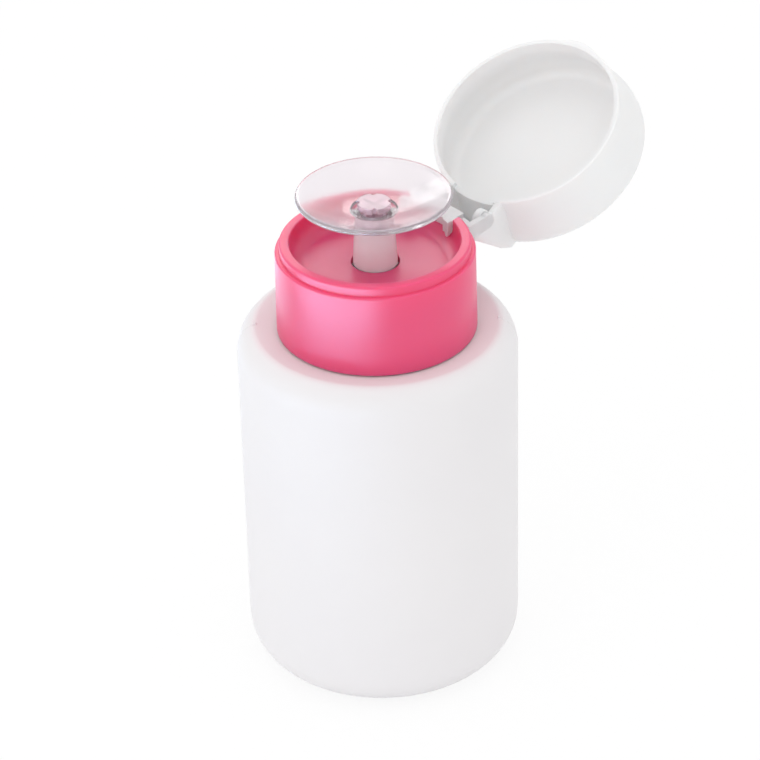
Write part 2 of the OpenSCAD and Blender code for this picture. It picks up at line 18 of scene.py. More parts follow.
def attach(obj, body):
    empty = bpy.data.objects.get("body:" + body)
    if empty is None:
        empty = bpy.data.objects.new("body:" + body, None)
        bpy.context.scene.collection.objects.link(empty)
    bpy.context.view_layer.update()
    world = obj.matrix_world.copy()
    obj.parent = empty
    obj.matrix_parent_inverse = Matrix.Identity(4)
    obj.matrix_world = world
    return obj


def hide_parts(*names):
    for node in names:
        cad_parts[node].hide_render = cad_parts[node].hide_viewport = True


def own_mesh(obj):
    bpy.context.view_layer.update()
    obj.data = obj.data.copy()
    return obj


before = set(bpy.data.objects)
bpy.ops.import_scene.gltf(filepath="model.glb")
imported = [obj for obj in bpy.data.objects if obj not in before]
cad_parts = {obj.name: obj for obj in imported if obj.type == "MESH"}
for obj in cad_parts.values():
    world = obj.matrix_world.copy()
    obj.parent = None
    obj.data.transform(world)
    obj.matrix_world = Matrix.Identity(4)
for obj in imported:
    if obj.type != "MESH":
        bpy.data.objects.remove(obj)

LOG = logging.getLogger("dispenser")
MM = 0.001
MERGE = 0.002 * MM

Point2 = tuple[float, float]
Point3 = tuple[float, float, float]


# Colour and nodes


def linear(hex_color: str) -> tuple[float, float, float, float]:
    """Turns an sRGB hex colour to Blender's linear colour.

    Args:
        hex_color: Six hex digits, with or without a leading #.

    Returns:
        Linear red, green and blue, and an alpha of 1.
    """
    digits = hex_color.lstrip("#")
    parts = [int(digits[i : i + 2], 16) / 255 for i in (0, 2, 4)]
    red, green, blue = (
        c / 12.92 if c <= 0.04045 else ((c + 0.055) / 1.055) ** 2.4 for c in parts
    )
    return red, green, blue, 1.0


def add_node(
    tree: bpy.types.NodeTree,
    kind: str,
    settings: Mapping[str, object] | None = None,
    inputs: Mapping[str | int, object] | None = None,
) -> bpy.types.Node:
    """Adds a shader node with its settings and links.

    Args:
        tree: The node tree that gets the node.
        kind: The node's type name.
        settings: Values of the node's own properties.
        inputs: Values of its sockets, or the sockets that they are linked to.

    Returns:
        The new node.
    """
    node = tree.nodes.new(kind)
    for key, value in (settings or {}).items():
        setattr(node, key, value)
    for key, value in (inputs or {}).items():
        if isinstance(value, bpy.types.NodeSocket):
            tree.links.new(value, node.inputs[key])
        else:
            node.inputs[key].default_value = value
    return node


def blank_material(name: str) -> bpy.types.Material:
    """Adds a material whose node tree is empty."""
    made = bpy.data.materials.new(name)
    made.use_nodes = True
    made.node_tree.nodes.clear()
    return made


# Finishes


@dataclass(frozen=True)
class MouldedPlastic:
    """A moulded plastic.

    Attributes:
        name: The plastic and how its surface was made.
        color: Its sRGB colour.
        drift: The sRGB colour that it drifts towards, where the wall is thicker.
        drift_mm: Size of the drift's patches.
        roughness: Roughness of the skin.
        rough_spread: How far the roughness drifts.
        ior: Index of refraction.
        grain_mm: Size of the grain that the mould leaves. It is drawn coarser than it is.
        grain_depth_mm: Depth of the grain.
        wave_mm: Length of the skin's slow waves.
        wave_depth_mm: Depth of the waves.
        clear: Share of the light that passes through.
        glow: Share of the light that scatters under the skin.
        glow_mm: How far that light travels.
        glow_reach: How far red, green and blue travel, as shares of that.
        shine: Strength of its mirror light, where 0.5 is what the index gives.
    """

    name: str
    color: str
    drift: str
    drift_mm: float = 20.0
    roughness: float = 0.4
    rough_spread: float = 0.05
    ior: float = 1.5
    grain_mm: float = 0.5
    grain_depth_mm: float = 0.004
    wave_mm: float = 14.0
    wave_depth_mm: float = 0.02
    clear: float = 0.0
    glow: float = 0.0
    glow_mm: float = 1.0
    glow_reach: Point3 = (1.0, 0.9, 0.85)
    shine: float = 0.5

    def build(self) -> bpy.types.Material:
        """Builds the finish's material."""
        made = blank_material(self.name)
        tree = made.node_tree
        place = add_node(tree, "ShaderNodeTexCoord").outputs["Object"]
        noise = {}
        for key, size_mm, detail in (
            ("drift", self.drift_mm, 2.0),
            ("rough", self.drift_mm / 3, 3.0),
            ("waves", self.wave_mm, 1.0),
            ("grain", self.grain_mm, 2.0),
        ):
            inputs = {"Vector": place, "Scale": 1 / (size_mm * MM), "Detail": detail}
            noise[key] = add_node(tree, "ShaderNodeTexNoise", inputs=inputs).outputs[0]
        tone = add_node(
            tree,
            "ShaderNodeMix",
            {"data_type": "RGBA"},
            {0: noise["drift"], 6: linear(self.color), 7: linear(self.drift)},
        )
        rough = add_node(
            tree,
            "ShaderNodeMapRange",
            inputs={
                "Value": noise["rough"],
                "To Min": max(0.0, self.roughness - self.rough_spread),
                "To Max": self.roughness + self.rough_spread,
            },
        )
        bumps = {}
        for key, depth_mm in (("waves", self.wave_depth_mm), ("grain", self.grain_depth_mm)):
            inputs = {"Height": noise[key], "Distance": depth_mm * MM, "Strength": 1.0, **bumps}
            bumps = {"Normal": add_node(tree, "ShaderNodeBump", inputs=inputs).outputs[0]}
        skin = add_node(
            tree,
            "ShaderNodeBsdfPrincipled",
            inputs={
                "Base Color": tone.outputs[2],
                "Roughness": rough.outputs[0],
                "IOR": self.ior,
                **bumps,
                "Transmission Weight": self.clear,
                "Subsurface Weight": self.glow,
                "Subsurface Scale": self.glow_mm * MM,
                "Subsurface Radius": self.glow_reach,
                "Specular IOR Level": self.shine,
            },
        )
        add_node(tree, "ShaderNodeOutputMaterial", inputs={0: skin.outputs[0]})
        return made


@dataclass(frozen=True)
class DrawnSteel:
    """Stainless steel, drawn to wire or ground to balls, with fine lines round it.

    Attributes:
        name: The steel and how its surface was made.
        color: Its sRGB colour.
        roughness: Roughness of the surface.
        rough_spread: How far the roughness varies from line to line.
        line_mm: Width of the lines.
        stretch: How many times longer than wide the lines are.
    """

    name: str
    color: str = "#C9C8C6"
    roughness: float = 0.22
    rough_spread: float = 0.08
    line_mm: float = 0.12
    stretch: float = 6.0

    def build(self) -> bpy.types.Material:
        """Builds the steel's material."""
        made = blank_material(self.name)
        tree = made.node_tree
        place = add_node(tree, "ShaderNodeTexCoord").outputs["Object"]
        stretched = add_node(
            tree,
            "ShaderNodeMapping",
            inputs={"Vector": place, "Scale": (1.0, 1.0, self.stretch)},
        )
        lines = add_node(
            tree,
            "ShaderNodeTexNoise",
            inputs={
                "Vector": stretched.outputs[0],
                "Scale": 1 / (self.line_mm * self.stretch * MM),
                "Detail": 3.0,
            },
        )
        rough = add_node(
            tree,
            "ShaderNodeMapRange",
            inputs={
                "Value": lines.outputs[0],
                "To Min": self.roughness - self.rough_spread,
                "To Max": self.roughness + self.rough_spread,
            },
        )
        skin = add_node(
            tree,
            "ShaderNodeBsdfPrincipled",
            inputs={
                "Base Color": linear(self.color),
                "Metallic": 1.0,
                "Roughness": rough.outputs[0],
            },
        )
        add_node(tree, "ShaderNodeOutputMaterial", inputs={0: skin.outputs[0]})
        return made


class Finish(Enum):
    """The object's finishes."""

    # Blown polyethylene takes the mould's blasted skin: satin, milky, light glows in its wall.
    MILKY = MouldedPlastic(
        "blown_milky_polyethylene",
        "#E9E7E8",
        "#E5E3E5",
        drift_mm=26,
        roughness=0.58,
        ior=1.54,
        grain_mm=0.6,
        grain_depth_mm=0.006,
        wave_mm=16,
        wave_depth_mm=0.05,
        glow=0.3,
        glow_mm=2.0,
        glow_reach=(1.0, 1.0, 1.0),
        shine=0.2,
    )
    # Injection-moulded polypropylene from a polished mould: clean pink with a soft gloss.
    PINK = MouldedPlastic(
        "moulded_pink_polypropylene",
        "#E84E7C",
        "#E44C79",
        drift_mm=18,
        roughness=0.36,
        ior=1.49,
        grain_mm=0.4,
        grain_depth_mm=0.002,
        wave_mm=9,
        wave_depth_mm=0.012,
        glow=0.6,
        glow_mm=5.0,
        glow_reach=(1.0, 0.3, 0.35),
    )
    WHITE = MouldedPlastic(
        "moulded_white_polypropylene",
        "#F7F5F7",
        "#F2F0F2",
        drift_mm=8,
        roughness=0.33,
        ior=1.49,
        grain_mm=0.4,
        glow=0.2,
        glow_mm=0.8,
    )
    # Uncoloured polypropylene from a blasted mould: frosted, lets a veil of light through.
    FROSTED = MouldedPlastic(
        "moulded_frosted_polypropylene",
        "#F3F3F3",
        "#EFEFEF",
        drift_mm=15,
        roughness=0.45,
        ior=1.49,
        grain_mm=0.5,
        grain_depth_mm=0.006,
        wave_mm=12,
        wave_depth_mm=0.02,
        clear=0.1,
        glow=0.8,
        glow_mm=3.0,
    )
    # Clear polystyrene from a polished mould: glassy, with slow flow waves.
    CLEAR = MouldedPlastic(
        "moulded_clear_polystyrene",
        "#FBF6F9",
        "#F7F1F5",
        drift_mm=10,
        roughness=0.15,
        rough_spread=0.03,
        ior=1.5,
        grain_mm=0.8,
        grain_depth_mm=0.001,
        wave_mm=5,
        wave_depth_mm=0.05,
        clear=0.86,
        shine=0.12,
    )
    # The tube under the saucer: a paler, less clear copy of the clear polystyrene, which paints in the light
    # and reflections that make the tube look white.
    CLOUDY = MouldedPlastic(
        "clear_polystyrene_tube_painted_light",
        "#FFFDFE",
        "#FBF8FA",
        drift_mm=6,
        roughness=0.2,
        rough_spread=0.03,
        ior=1.5,
        grain_mm=0.6,
        grain_depth_mm=0.002,
        wave_mm=4,
        wave_depth_mm=0.03,
        clear=0.25,
    )
    CLEAR_PLUG = MouldedPlastic(
        "moulded_clear_polypropylene",
        "#F6DFE8",
        "#F2D8E3",
        drift_mm=4,
        roughness=0.14,
        rough_spread=0.03,
        ior=1.49,
        grain_mm=0.5,
        grain_depth_mm=0.002,
        wave_mm=3,
        wave_depth_mm=0.03,
        clear=0.6,
        shine=0.2,
    )
    NATURAL = MouldedPlastic(
        "moulded_natural_polypropylene",
        "#F4F4F5",
        "#EFEFF0",
        drift_mm=10,
        roughness=0.4,
        ior=1.49,
        clear=0.4,
        glow=0.2,
        glow_mm=1.0,
    )
    SOFT = MouldedPlastic(
        "moulded_soft_polyethylene",
        "#E6E8EA",
        "#DDE1E4",
        drift_mm=5,
        roughness=0.48,
        ior=1.51,
        glow=0.25,
        glow_mm=1.0,
    )
    # Foamed polyethylene sheet, cut to a ring: dull, with closed cells in its cut edge.
    FOAM = MouldedPlastic(
        "cut_foamed_polyethylene",
        "#DADADA",
        "#CFCFCF",
        drift_mm=1.2,
        roughness=0.75,
        grain_mm=0.35,
        grain_depth_mm=0.05,
    )
    STEEL = DrawnSteel("drawn_stainless_steel")
    BALL_STEEL = DrawnSteel("ground_stainless_steel", roughness=0.12, rough_spread=0.03)

    def material(self) -> bpy.types.Material:
        """Returns the finish's material, built once."""
        return bpy.data.materials.get(self.value.name) or self.value.build()


class Slot(Enum):
    """The record's material slots."""

    MILKY = "milky_polyethylene"
    PINK = "pink_polypropylene"
    WHITE = "white_polypropylene"
    FROSTED = "frosted_polypropylene"
    CLEAR = "clear_styrene"
    CLEAR_PLUG = "clear_plug"
    SOFT = "soft_polyethylene"
    NATURAL = "natural_polypropylene"
    FOAM = "foam_gasket"
    STEEL = "steel"


# Modelling


def arc(centre: Point2, radius: float, start: float, end: float, steps: int = 10) -> list[Point2]:
    """Returns points of an arc.

    Args:
        centre: Its centre.
        radius: Its radius.
        start: Its first angle in degrees.
        end: Its last angle in degrees.
        steps: Number of chords.

    Returns:
        The points, ends included.
    """
    angles = (math.radians(start + (end - start) * i / steps) for i in range(steps + 1))
    return [(centre[0] + radius * math.cos(a), centre[1] + radius * math.sin(a)) for a in angles]


def deselect() -> None:
    """Deselects every object."""
    bpy.ops.object.select_all(action="DESELECT")


def pick(piece: bpy.types.Object) -> None:
    """Makes a piece the only selected and the active object."""
    deselect()
    piece.select_set(True)
    bpy.context.view_layer.objects.active = piece


def select_where(piece: bpy.types.Object, test: Callable[[Vector], bool]) -> int:
    """Selects the vertices of a piece in edit mode by their place.

    Args:
        piece: The piece, in edit mode.
        test: Says whether a vertex at that place, in millimetres, is selected.

    Returns:
        How many are selected.
    """
    bpy.ops.mesh.select_mode(type="VERT")
    bpy.ops.mesh.select_all(action="DESELECT")
    bpy.ops.object.mode_set(mode="OBJECT")
    for vertex in piece.data.vertices:
        vertex.select = test(vertex.co / MM)
    count = sum(vertex.select for vertex in piece.data.vertices)
    bpy.ops.object.mode_set(mode="EDIT")
    return count


def draw_line(name: str, points: Sequence[Point3]) -> bpy.types.Object:
    """Draws a line of vertices, each extruded from the last, and stays in edit mode.

    Args:
        name: Name of the new piece.
        points: The line's points in millimetres.

    Returns:
        The piece.
    """
    deselect()
    bpy.ops.mesh.primitive_plane_add(size=MM, location=(0, 0, 0))
    piece = bpy.context.object
    piece.name = piece.data.name = name
    bpy.ops.object.mode_set(mode="EDIT")
    bpy.ops.mesh.select_mode(type="VERT")
    bpy.ops.mesh.select_all(action="SELECT")
    bpy.ops.mesh.merge(type="CENTER")
    here = Vector(points[0]) * MM
    bpy.ops.transform.translate(value=here)
    for point in points[1:]:
        there = Vector(point) * MM
        bpy.ops.mesh.extrude_vertices_move(TRANSFORM_OT_translate={"value": there - here})
        here = there
    return piece


def finish_shape(piece: bpy.types.Object, sharp: float = 35.0) -> bpy.types.Object:
    """Merges doubles, turns the faces outwards and smooths all but sharp edges.

    Args:
        piece: The piece.
        sharp: Edges with a larger angle than this stay sharp, in degrees.

    Returns:
        The piece, in object mode.
    """
    if piece.mode != "EDIT":
        pick(piece)
        bpy.ops.object.mode_set(mode="EDIT")
    bpy.ops.mesh.select_all(action="SELECT")
    bpy.ops.mesh.remove_doubles(threshold=MERGE)
    bpy.ops.mesh.normals_make_consistent(inside=False)
    bpy.ops.object.mode_set(mode="OBJECT")
    bpy.ops.object.shade_smooth_by_angle(angle=math.radians(sharp))
    return piece


def turn(
    name: str, outline: Sequence[Point2], steps: int = 144, ring: bool = True
) -> bpy.types.Object:
    """Turns an outline round the bottle's axis, as on a lathe.

    Args:
        name: Name of the new piece.
        outline: Radius and height of each point, in millimetres.
        steps: Number of steps round the axis.
        ring: The outline is closed. Otherwise it starts and ends on the axis.

    Returns:
        The piece.
    """
    points = [(r, 0.0, z) for r, z in outline]
    if ring:
        points.append(points[0])
    piece = draw_line(name, points)
    bpy.ops.mesh.select_all(action="SELECT")
    bpy.ops.mesh.spin(steps=steps, angle=2 * math.pi, center=(0, 0, 0), axis=(0, 0, 1))
    return finish_shape(piece)


def plate(
    name: str, outline: Sequence[Point3], depth: Point3, bevel: float = 0.0
) -> bpy.types.Object:
    """Fills an outline and extrudes it to a plate.

    Args:
        name: Name of the new piece.
        outline: The outline's points in millimetres.
        depth: The way from one side of the plate to the other, in millimetres.
        bevel: Width of the bevel on its edges, in millimetres.

    Returns:
        The piece.
    """
    piece = draw_line(name, [*outline, outline[0]])
    bpy.ops.mesh.select_all(action="SELECT")
    bpy.ops.mesh.remove_doubles(threshold=MERGE)
    bpy.ops.mesh.select_all(action="SELECT")
    bpy.ops.mesh.edge_face_add()
    bpy.ops.mesh.select_mode(type="FACE")
    bpy.ops.mesh.select_all(action="SELECT")
    bpy.ops.mesh.extrude_region_move(TRANSFORM_OT_translate={"value": Vector(depth) * MM})
    finish_shape(piece)
    if bevel:
        bevel_edges(piece, bevel, 40)
    return piece


def slab(name: str, half: float, near: float, far: float, low: float, high: float) -> bpy.types.Object:
    """Builds a block astride the middle plane, to cut with.

    Args:
        name: Name of the new piece.
        half: Half its width.
        near: Where it starts, towards the hinge.
        far: Where it ends.
        low: Height of its underside.
        high: Its own height.

    Returns:
        The block.
    """
    corners = [(-half, near, low), (half, near, low), (half, far, low), (-half, far, low)]
    return plate(name, corners, (0, 0, high))


def cylinder(
    radius: float, length: float, where: Point3, vertices: int, across: bool = False
) -> bpy.types.Object:
    """Adds a cylinder, to be shaped or joined.

    Args:
        radius: Its radius in millimetres.
        length: Its length.
        where: Its middle.
        vertices: Number of its sides.
        across: It lies along X. Otherwise it stands.

    Returns:
        The cylinder.
    """
    deselect()
    bpy.ops.mesh.primitive_cylinder_add(
        vertices=vertices,
        radius=radius * MM,
        depth=length * MM,
        location=[c * MM for c in where],
        rotation=(0, math.pi / 2 if across else 0, 0),
    )
    return bpy.context.object


def screw_ridge(
    name: str, profile: Sequence[Point2], low: float, pitch: float, turns: float, fade: float
) -> bpy.types.Object:
    """Sweeps a profile up a right-hand screw line round the axis, with ends that run out.

    Args:
        name: Name of the new piece.
        profile: Radius of each point and its height above the line, in millimetres.
        low: Height of the line's start.
        pitch: Its rise in one turn.
        turns: Number of turns.
        fade: Share of its radius that each end sinks to.

    Returns:
        The ridge.
    """
    piece = draw_line(name, [(r, 0.0, low + z) for r, z in (*profile, profile[0])])
    bpy.ops.mesh.select_all(action="SELECT")
    bpy.ops.mesh.remove_doubles(threshold=MERGE)
    bpy.ops.object.mode_set(mode="OBJECT")
    modify(
        piece,
        "SCREW",
        angle=2 * math.pi * turns,
        screw_offset=pitch * turns * MM,
        steps=round(72 * turns),
        render_steps=round(72 * turns),
        use_merge_vertices=False,
    )
    bpy.ops.object.mode_set(mode="EDIT")
    bpy.ops.mesh.select_mode(type="VERT")
    bpy.ops.mesh.select_all(action="SELECT")
    bpy.ops.mesh.fill_holes(sides=0)
    last = Matrix.Rotation(2 * math.pi * turns, 3, "Z") @ Vector((1, 0, 0))
    for way, height in ((Vector((1, 0, 0)), low), (last, low + pitch * turns)):

        def at_end(co: Vector, way: Vector = way, height: float = height) -> bool:
            """Says whether a vertex lies in that end's face."""
            flat = Vector((co.x, co.y, 0))
            return flat.normalized().dot(way) > 0.9999 and abs(co.z - height) < pitch / 2

        select_where(piece, at_end)
        bpy.ops.transform.resize(
            value=(fade, fade, 1.0),
            center_override=(0, 0, 0),
            use_proportional_edit=True,
            use_proportional_connected=True,
            proportional_edit_falloff="SMOOTH",
            proportional_size=8 * MM,
        )
    return finish_shape(piece)


def modify(piece: bpy.types.Object, kind: str, **settings: object) -> bpy.types.Object:
    """Adds a modifier to a piece and applies it.

    Args:
        piece: The piece.
        kind: The modifier's type.
        **settings: Its properties.

    Returns:
        The piece.
    """
    pick(piece)
    added = piece.modifiers.new(kind.lower(), kind)
    for key, value in settings.items():
        setattr(added, key, value)
    bpy.ops.object.modifier_apply(modifier=added.name)
    return piece


def bevel_edges(piece: bpy.types.Object, width: float, sharp: float) -> None:
    """Bevels a piece's edges that are sharper than an angle.

    Args:
        piece: The piece.
        width: Width of the bevel in millimetres.
        sharp: The angle in degrees.
    """
    limit = math.radians(sharp)
    modify(piece, "BEVEL", width=width * MM, segments=3, limit_method="ANGLE", angle_limit=limit)


def combine(piece: bpy.types.Object, tool: bpy.types.Object, operation: str) -> bpy.types.Object:
    """Adds a tool shape to a piece or cuts it away, and removes the tool.

    Args:
        piece: The piece.
        tool: The other shape.
        operation: UNION, DIFFERENCE or INTERSECT.

    Returns:
        The piece.
    """
    modify(piece, "BOOLEAN", operation=operation, object=tool, solver="EXACT")
    bpy.data.objects.remove(tool, do_unlink=True)
    return piece


def dress(
    piece: bpy.types.Object, finish: Finish, slot: Slot, body: str, *nodes: str
) -> bpy.types.Object:
    """Gives a new piece its finish and its place in the frame.

    Args:
        piece: The piece.
        finish: Its finish.
        slot: The record's slot of its material. It is not used.
        body: The CAD body that it moves with.
        *nodes: The CAD nodes that it stands for.

    Returns:
        The piece.
    """
    piece.data.materials.clear()
    piece.data.materials.append(finish.material())
    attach(piece, body)
    if nodes:
        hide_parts(*nodes)
    LOG.info("%s: %d faces, rides on %s", piece.name, len(piece.data.polygons), body)
    return piece


def dress_node(name: str, finish: Finish) -> None:
    """Gives a CAD node its finish.

    Args:
        name: The node.
        finish: Its finish.
    """
    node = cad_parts[name]
    if not node.material_slots:
        node.data.materials.append(finish.material())
    for slot in node.material_slots:
        slot.material = finish.material()
    LOG.info("%s: CAD node dressed in %s", name, finish.value.name)


# The object


@dataclass(frozen=True)
class ScrewThread:
    """The right-hand thread that the neck and the collar share.

    Attributes:
        deep: How far the ridge stands off the wall.
        pitch: Its rise in one turn.
        turns: Number of turns.
        root_half: Half its width at the wall.
        crest_half: Half its width at the crest.
        sink: How far it reaches into the wall.
        run_out: Share of the radius by which each end sinks into the wall.
    """

    deep: float = 1.2
    pitch: float = 4.2
    turns: float = 1.5
    root_half: float = 1.1
    crest_half: float = 0.5
    sink: float = 0.2
    run_out: float = 0.07

    def ridge(self, name: str, radius: float, outward: int, low: float) -> bpy.types.Object:
        """Builds the ridge.

        Args:
            name: Name of the new piece.
            radius: Radius of the wall that it stands on.
            outward: 1 on the neck, and -1 inside the collar.
            low: Height of its start.

        Returns:
            The ridge.
        """
        root, crest = radius - outward * self.sink, radius + outward * self.deep
        wide, narrow = self.root_half, self.crest_half
        profile = [(root, -wide), (crest, -narrow), (crest, narrow), (root, wide)]
        fade = 1 - outward * self.run_out
        return screw_ridge(name, profile, low, self.pitch, self.turns, fade)


@dataclass
class BlownBottle:
    """The milky bottle, with its parting line, push-up and threaded neck."""

    radius: float = 30.0
    shoulder_z: float = 83.2
    wall: float = 1.2
    foot_wall: float = 1.5
    foot_round: float = 8.8
    shoulder_round: float = 7.1
    push_up: float = 1.4
    ring_inner: float = 18.0
    ring_outer: float = 21.2
    push_run: float = 2.2
    seat_radius: float = 21.75
    seat_z: float = 81.3
    crest_angle: float = 60.0
    crest_round: float = 2.0
    neck_radius: float = 17.5
    neck_bore: float = 15.8
    neck_z: float = 93.2
    neck_edge: float = 0.3
    edge: float = 0.4
    thread: ScrewThread = ScrewThread()
    thread_z: float = 85.7
    mould_angle: float = 43.3
    ridge_out: float = 0.06
    ridge_deep: float = 0.4
    ridge_wide: float = 0.3
    ridge_span: Point2 = (288.0, 66.0)
    pinch_high: float = 0.35
    pinch_deep: float = 0.3
    pinch_wide: float = 0.9
    pinch_inset: float = 2.0

    def shoulder(self, inset: float, rounding: float) -> list[Point2]:
        """Returns the shoulder's outline, over its crest and down the slope of the seat.

        Args:
            inset: How far it lies inside the outer one.
            rounding: Radius of the crest's round.

        Returns:
            The points, from the bottle's side to the foot of the slope.
        """
        r = self.shoulder_round
        x, z = self.radius - r, self.shoulder_z - r
        crest = math.radians(self.crest_angle)
        rise = z + r * math.sin(crest) - self.seat_z
        tilt = math.atan2(rise, x + r * math.cos(crest) - self.seat_radius)
        side = r * math.cos(math.pi / 2 + tilt - crest) - inset - rounding
        reach = r - inset - rounding
        bend = math.pi / 2 + tilt - math.acos(side / reach)
        centre = (x + reach * math.cos(bend), z + reach * math.sin(bend))
        last = math.degrees(bend)
        return [
            *arc((x, z), r - inset, 0, last * 15 / 16, 15),
            *arc(centre, rounding, last, 90 + math.degrees(tilt), 6),
            (self.seat_radius + inset * math.tan(tilt / 2), self.seat_z - inset),
        ]

    def outline(self) -> list[Point2]:
        """Returns the wall's outline, from the axis at the foot round to the axis inside."""
        foot = (self.ring_outer, self.foot_round)
        edge, lip, wall = self.edge, self.neck_edge, self.wall
        outside = [
            (0.0, self.push_up),
            (self.ring_inner - self.push_run - 0.5, self.push_up),
            *arc((self.ring_inner - edge, edge), edge, 225, 270, 3),
            *arc(foot, self.foot_round, 270, 360, 20),
            *self.shoulder(0.0, self.crest_round),
            *arc((self.neck_radius + edge, self.seat_z + edge), edge, 270, 180, 4),
            *arc((self.neck_radius - lip, self.neck_z - lip), lip, 0, 90, 4),
            *arc((self.neck_bore + lip, self.neck_z - lip), lip, 90, 180, 4),
        ]
        inside = [
            (self.neck_bore, self.seat_z - wall),
            *reversed(self.shoulder(wall, self.crest_round / 2)),
            *arc(foot, self.foot_round - wall, 360, 270, 14),
            (self.ring_inner, self.foot_wall),
            (self.ring_inner - self.push_run, self.foot_wall + self.push_up),
            (0.0, self.foot_wall + self.push_up),
        ]
        return outside + inside

    def skin(self, out: float) -> list[Point2]:
        """Returns the bottle's side from its foot to its shoulder, moved out by that much."""
        shoulder = (self.radius - self.shoulder_round, self.shoulder_z - self.shoulder_round)
        first, last = self.ridge_span
        return [
            *arc((self.ring_outer, self.foot_round), self.foot_round + out, first, 360, 14),
            *arc(shoulder, self.shoulder_round + out, 0, last, 12),
        ]

    def add_mould_marks(self, shell: bpy.types.Object) -> None:
        """Adds the fine ridge where the mould's halves met, and the pinched seam under the foot.

        Args:
            shell: The bottle, which gets them.
        """
        half = self.ridge_wide / 2
        turned = Matrix.Rotation(math.radians(self.mould_angle), 3, "Z")
        for side in (-1, 1):
            outline = [*self.skin(self.ridge_out), *reversed(self.skin(-self.ridge_deep))]
            points = [tuple(turned @ Vector((side * r, -half, z))) for r, z in outline]
            depth = turned @ Vector((0, 2 * half, 0))
            combine(shell, plate("parting_line", points, tuple(depth)), "UNION")
        low, high = self.push_up - self.pinch_high, self.push_up + self.pinch_deep
        reach = self.ring_inner - self.push_run - self.pinch_inset
        seam = [(-reach, high), (-reach + 1, low), (reach - 1, low), (reach, high)]
        points = [tuple(turned @ Vector((x, -self.pinch_wide / 2, z))) for x, z in seam]
        depth = turned @ Vector((0, self.pinch_wide, 0))
        combine(shell, plate("pinched_seam", points, tuple(depth)), "UNION")

    def build(self) -> None:
        """Builds the bottle and dresses it."""
        shell = turn("bottle_shell", self.outline(), steps=160, ring=False)
        self.add_mould_marks(shell)
        combine(shell, self.thread.ridge("neck_thread", self.neck_radius, 1, self.thread_z), "UNION")
        finish_shape(shell)
        dress(shell, Finish.MILKY, Slot.MILKY, "vessel", "bottle")


@dataclass
class ScrewCollar:
    """The pink screw collar with its ledge, ring, well and floor."""

    foot_radius: float = 21.4
    ledge_radius: float = 21.2
    foot_round: float = 0.25
    ledge_round: float = 0.45
    ledge_fillet: float = 0.12
    ring_radius: float = 20.25
    ring_round: float = 0.5
    mouth_round: float = 0.3
    well_radius: float = 18.1
    well_round: float = 3.4
    hole_radius: float = 5.1
    hole_round: float = 0.2
    bore: float = 18.95
    chamfer: float = 0.5
    foot_z: float = 81.6
    under_z: float = 95.65
    floor_z: float = 97.05
    ledge_z: float = 100.05
    rim_z: float = 102.15
    notch_half: float = 7.0
    notch_z: float = 99.15
    thread: ScrewThread = ScrewThread()
    thread_z: float = 83.6

    def outline(self) -> list[Point2]:
        """Returns the collar's closed outline."""
        foot, ledge, fillet, ring = self.foot_round, self.ledge_round, self.ledge_fillet, self.ring_round
        mouth, well, hole = self.mouth_round, self.well_round, self.hole_round
        return [
            (self.bore + self.chamfer, self.foot_z),
            *arc((self.foot_radius - foot, self.foot_z + foot), foot, 270, 360, 4),
            *arc((self.ledge_radius - ledge, self.ledge_z - ledge), ledge, 0, 90, 6),
            *arc((self.ring_radius + fillet, self.ledge_z + fillet), fillet, 270, 180, 3),
            *arc((self.ring_radius - ring, self.rim_z - ring), ring, 0, 90, 8),
            *arc((self.well_radius + mouth, self.rim_z - mouth), mouth, 90, 180, 5),
            *arc((self.well_radius - well, self.floor_z + well), well, 360, 270, 14),
            *arc((self.hole_radius + hole, self.floor_z - hole), hole, 90, 180, 3),
            (self.hole_radius, self.under_z),
            (self.bore, self.under_z),
            (self.bore, self.foot_z + self.chamfer),
        ]

    def build(self) -> None:
        """Builds the collar and dresses it."""
        collar = turn("collar_shell", self.outline(), steps=180)
        near, far = self.well_radius - self.well_round, self.ledge_radius + 3
        notch = slab("notch", self.notch_half, near, far, self.notch_z, 2 * (self.rim_z - self.notch_z))
        combine(collar, notch, "DIFFERENCE")
        combine(collar, self.thread.ridge("collar_thread", self.bore, -1, self.thread_z), "UNION")
        finish_shape(collar)
        dress(collar, Finish.PINK, Slot.PINK, "cap", "collar")


